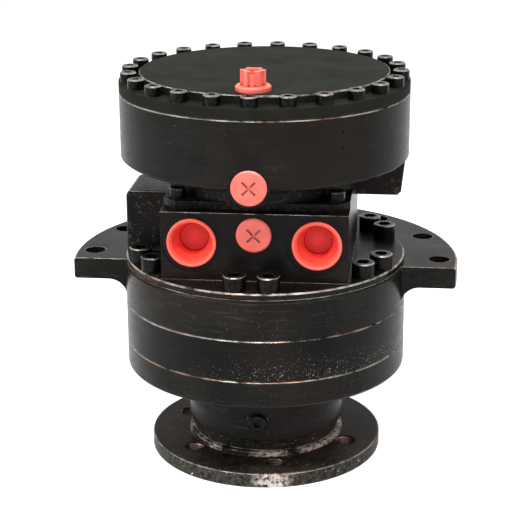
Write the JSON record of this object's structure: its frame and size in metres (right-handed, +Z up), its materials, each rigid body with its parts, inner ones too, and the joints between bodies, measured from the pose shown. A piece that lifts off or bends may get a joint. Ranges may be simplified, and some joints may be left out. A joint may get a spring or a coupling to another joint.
{
  "type": "hydraulic drive motor",
  "caption": "Low-speed radial-piston hydraulic drive motor with a round drive flange below, bolt ears, a port block and a disc brake drum on top.",
  "frame": {"origin": "centre of the pilot bore in the plane of the drive flange's lower face", "axes": "+Z up the shaft axis towards the brake, -Y out of the port face, +X to the right when looking at the ports"},
  "size_m": [0.315, 0.2751, 0.336],
  "materials": {
    "black_paint": "satin black paint over cast iron, worn bright on the edges",
    "painted_shaft_steel": "thin black paint over forged steel, scuffed and rusty in places",
    "black_screw_steel": "blackened steel",
    "ground_steel": "ground",
    "bearing_steel": "polished",
    "pressed_steel": "pressed sheet",
    "spring_steel": "oiled",
    "grey_iron": "machined cast iron",
    "sintered_bronze": "sintered facing",
    "seal_rubber": "matt",
    "red_cup_plastic": "moulded polyethylene",
    "coral_plug_plastic": "moulded polyethylene"
  },
  "bodies": {
    "housing": {"front_case": "black_paint", "cam_ring": "black_paint", "flange_case": "black_paint", "valve_cover": "black_paint", "brake_housing": "black_paint", "brake_cover": "black_paint", "cover_screws": "black_screw_steel", "case_screws": "black_screw_steel", "brake_housing_screws": "black_screw_steel", "case_dowels": "ground_steel", "gauge_plug": "black_screw_steel", "neck_plug": "black_screw_steel", "spool_plug": "black_screw_steel", "lower_bearing_cup": "bearing_steel", "upper_bearing_cup": "bearing_steel", "shaft_seal": "seal_rubber", "case_seals": "seal_rubber", "distributor": "grey_iron", "distributor_seals": "seal_rubber", "outer_brake_discs": "ground_steel", "brake_spring": "spring_steel", "spool_spring": "spring_steel"},
    "rotor": {"drive_shaft": "painted_shaft_steel", "cylinder_block": "ground_steel", "lower_bearing_cone": "bearing_steel", "upper_bearing_cone": "bearing_steel", "bearing_nut": "ground_steel", "brake_shaft": "ground_steel", "inner_brake_discs": "sintered_bronze"},
    "lower_roller_set": {"lower_bearing_rollers": "bearing_steel", "lower_bearing_cage": "pressed_steel"},
    "upper_roller_set": {"upper_bearing_rollers": "bearing_steel", "upper_bearing_cage": "pressed_steel"},
    "brake_piston_body": {"brake_piston": "grey_iron", "brake_piston_seals": "seal_rubber"},
    "speed_spool_body": {"speed_spool": "ground_steel"},
    "left_port_plug": {"port_plug_left": "red_cup_plastic"},
    "right_port_plug": {"port_plug_right": "red_cup_plastic"},
    "drain_port_plug": {"drain_plug": "coral_plug_plastic"},
    "brake_release_plug": {"brake_port_plug": "coral_plug_plastic"},
    "bleed_port_plug": {"bleed_plug": "coral_plug_plastic"},
    "piston_body_1": {"piston_1": "ground_steel"},
    "cam_roller_body_1": {"cam_roller_1": "bearing_steel"},
    "piston_body_2": {"piston_2": "ground_steel"},
    "cam_roller_body_2": {"cam_roller_2": "bearing_steel"},
    "piston_body_3": {"piston_3": "ground_steel"},
    "cam_roller_body_3": {"cam_roller_3": "bearing_steel"},
    "piston_body_4": {"piston_4": "ground_steel"},
    "cam_roller_body_4": {"cam_roller_4": "bearing_steel"},
    "piston_body_5": {"piston_5": "ground_steel"},
    "cam_roller_body_5": {"cam_roller_5": "bearing_steel"},
    "piston_body_6": {"piston_6": "ground_steel"},
    "cam_roller_body_6": {"cam_roller_6": "bearing_steel"},
    "piston_body_7": {"piston_7": "ground_steel"},
    "cam_roller_body_7": {"cam_roller_7": "bearing_steel"},
    "piston_body_8": {"piston_8": "ground_steel"},
    "cam_roller_body_8": {"cam_roller_8": "bearing_steel"}
  },
  "joints": [
    {"name": "shaft_spin", "type": "hinge", "parent": "housing", "child": "rotor", "pos_m": [0, 0, 0], "axis": [0, 0, 1], "continuous": true},
    {"name": "lower_rollers_orbit", "type": "hinge", "parent": "housing", "child": "lower_roller_set", "pos_m": [0, 0, 0.048], "axis": [0, 0, 1], "continuous": true},
    {"name": "upper_rollers_orbit", "type": "hinge", "parent": "housing", "child": "upper_roller_set", "pos_m": [0, 0, 0.077], "axis": [0, 0, 1], "continuous": true},
    {"name": "piston_1_stroke", "type": "slide", "parent": "rotor", "child": "piston_body_1", "axis": [0.1305, -0.9914, 0], "range_m": [0, 0.00165]},
    {"name": "cam_roller_1_spin", "type": "hinge", "parent": "piston_body_1", "child": "cam_roller_body_1", "pos_m": [0.00966, -0.07337, 0.1155], "axis": [0, 0, 1], "continuous": true},
    {"name": "piston_2_stroke", "type": "slide", "parent": "rotor", "child": "piston_body_2", "axis": [0.7934, -0.6088, 0], "range_m": [0, 0.00165]},
    {"name": "cam_roller_2_spin", "type": "hinge", "parent": "piston_body_2", "child": "cam_roller_body_2", "pos_m": [0.05871, -0.04505, 0.1155], "axis": [0, 0, 1], "continuous": true},
    {"name": "piston_3_stroke", "type": "slide", "parent": "rotor", "child": "piston_body_3", "axis": [0.9914, 0.1305, 0], "range_m": [0, 0.0087]},
    {"name": "cam_roller_3_spin", "type": "hinge", "parent": "piston_body_3", "child": "cam_roller_body_3", "pos_m": [0.07337, 0.00966, 0.1155], "axis": [0, 0, 1], "continuous": true},
    {"name": "piston_4_stroke", "type": "slide", "parent": "rotor", "child": "piston_body_4", "axis": [0.6088, 0.7934, 0], "range_m": [0, 0.0087]},
    {"name": "cam_roller_4_spin", "type": "hinge", "parent": "piston_body_4", "child": "cam_roller_body_4", "pos_m": [0.04505, 0.05871, 0.1155], "axis": [0, 0, 1], "continuous": true},
    {"name": "piston_5_stroke", "type": "slide", "parent": "rotor", "child": "piston_body_5", "axis": [-0.1305, 0.9914, 0], "range_m": [0, 0.00165]},
    {"name": "cam_roller_5_spin", "type": "hinge", "parent": "piston_body_5", "child": "cam_roller_body_5", "pos_m": [-0.00966, 0.07337, 0.1155], "axis": [0, 0, 1], "continuous": true},
    {"name": "piston_6_stroke", "type": "slide", "parent": "rotor", "child": "piston_body_6", "axis": [-0.7934, 0.6088, 0], "range_m": [0, 0.00165]},
    {"name": "cam_roller_6_spin", "type": "hinge", "parent": "piston_body_6", "child": "cam_roller_body_6", "pos_m": [-0.05871, 0.04505, 0.1155], "axis": [0, 0, 1], "continuous": true},
    {"name": "piston_7_stroke", "type": "slide", "parent": "rotor", "child": "piston_body_7", "axis": [-0.9914, -0.1305, 0], "range_m": [0, 0.0087]},
    {"name": "cam_roller_7_spin", "type": "hinge", "parent": "piston_body_7", "child": "cam_roller_body_7", "pos_m": [-0.07337, -0.00966, 0.1155], "axis": [0, 0, 1], "continuous": true},
    {"name": "piston_8_stroke", "type": "slide", "parent": "rotor", "child": "piston_body_8", "axis": [-0.6088, -0.7934, 0], "range_m": [0, 0.0087]},
    {"name": "cam_roller_8_spin", "type": "hinge", "parent": "piston_body_8", "child": "cam_roller_body_8", "pos_m": [-0.04505, -0.05871, 0.1155], "axis": [0, 0, 1], "continuous": true},
    {"name": "brake_release", "type": "slide", "parent": "housing", "child": "brake_piston_body", "axis": [0, 0, 1], "range_m": [0, 0.0025], "stiffness_N_per_m": 4000, "springref_m": -0.002, "deforming": ["brake_spring"]},
    {"name": "speed_shift", "type": "slide", "parent": "housing", "child": "speed_spool_body", "axis": [0, -1, 0], "range_m": [0, 0.006], "stiffness_N_per_m": 300, "springref_m": -0.003, "deforming": ["spool_spring"]},
    {"name": "left_port_plug_pull", "type": "slide", "parent": "housing", "child": "left_port_plug", "axis": [0, -1, 0], "range_m": [0, 0.03]},
    {"name": "right_port_plug_pull", "type": "slide", "parent": "housing", "child": "right_port_plug", "axis": [0, -1, 0], "range_m": [0, 0.03]},
    {"name": "drain_plug_pull", "type": "slide", "parent": "housing", "child": "drain_port_plug", "axis": [0, -1, 0], "range_m": [0, 0.03]},
    {"name": "brake_plug_pull", "type": "slide", "parent": "housing", "child": "brake_release_plug", "axis": [0, -1, 0], "range_m": [0, 0.03]},
    {"name": "bleed_plug_pull", "type": "slide", "parent": "housing", "child": "bleed_port_plug", "axis": [0, 0, 1], "range_m": [0, 0.03]}
  ],
  "couplings": [
    {"joint": "lower_rollers_orbit", "follows": "shaft_spin", "ratio": 0.44094},
    {"joint": "upper_rollers_orbit", "follows": "shaft_spin", "ratio": 0.44094}
  ]
}
